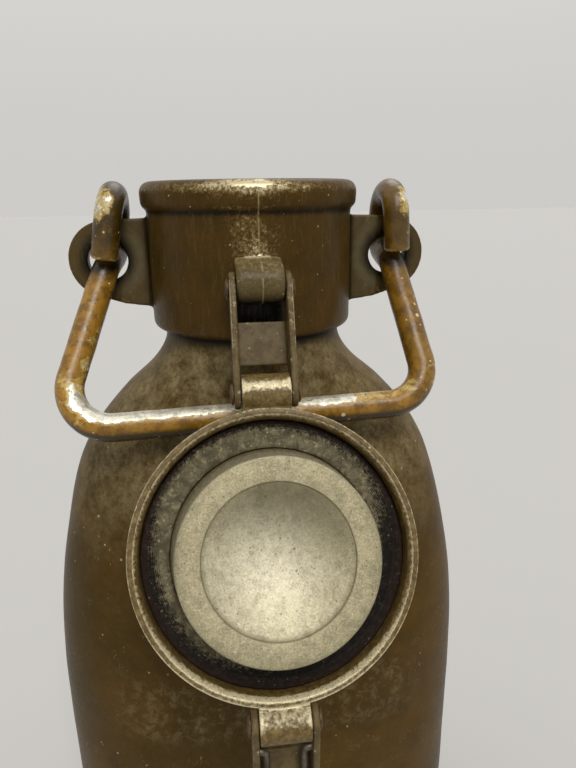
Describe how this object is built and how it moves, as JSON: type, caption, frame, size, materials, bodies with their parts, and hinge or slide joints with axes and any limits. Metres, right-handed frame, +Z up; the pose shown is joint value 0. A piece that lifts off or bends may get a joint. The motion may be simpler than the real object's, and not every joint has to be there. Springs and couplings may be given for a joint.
{
  "type": "water canteen",
  "caption": "Tall oval painted metal water canteen with a cast neck collar, a wire-loop bail handle, and a gasketed plug lid hanging open on a hinge link, with a lever latch.",
  "frame": {"origin": "centre of the flat base that the canteen stands on", "axes": "+Z up along the neck's axis; the front, with the hinge and the open lid, faces -Y; +X is to the right seen from the front"},
  "size_m": [0.196, 0.1788, 0.3579],
  "materials": {
    "body_paint": "worn brown-olive gloss paint with pale speckles, scratches and dusty scuffs",
    "collar_paint": "worn brown paint on a casting, rubbed pale on the bead",
    "bail_paint": "ochre gloss paint rubbed to bare metal along the bar and at its corners",
    "lid_metal": "dull bare light metal with fine scratches, olive paint left on the rim",
    "link_steel": "thin grey-brown paint, lighter along its edges",
    "pin_steel": "dull rust-tinted steel",
    "wire_steel": "dull grey steel wire",
    "gasket_rubber": "matt perished black rubber with pale oxide specks"
  },
  "bodies": {
    "vessel": {"body_shell": "body_paint", "base_pan": "body_paint", "neck_collar": "collar_paint"},
    "bail": {"bail_handle": "bail_paint"},
    "link": {"hinge_link": "link_steel", "neck_hinge_pin": "pin_steel", "lid_hinge_pin": "pin_steel"},
    "lid": {"lid_cap": "lid_metal", "lid_gasket": "gasket_rubber"},
    "lever": {"latch_lever": "link_steel", "latch_pin": "pin_steel"},
    "stirrup": {"latch_stirrup": "wire_steel"}
  },
  "joints": [
    {"name": "bail_swing", "type": "hinge", "parent": "vessel", "child": "bail", "pos_m": [0, 0, 0.338], "axis": [-1, 0, 0], "range_deg": [0, 5.5]},
    {"name": "link_swing", "type": "hinge", "parent": "vessel", "child": "link", "pos_m": [0, -0.0498, 0.3187], "axis": [-1, 0, 0], "range_deg": [0, 147.15]},
    {"name": "lid_swing", "type": "hinge", "parent": "link", "child": "lid", "pos_m": [0, -0.06451, 0.28301], "axis": [-1, 0, 0], "range_deg": [0, 99.45]},
    {"name": "latch_lever_swing", "type": "hinge", "parent": "lid", "child": "lever", "pos_m": [0, -0.10963, 0.17876], "axis": [-1, 0, 0], "range_deg": [-35, 113.4]},
    {"name": "latch_stirrup_swing", "type": "hinge", "parent": "lever", "child": "stirrup", "pos_m": [0, -0.10963, 0.16676], "axis": [-1, 0, 0], "range_deg": [-4, 20.8]}
  ]
}
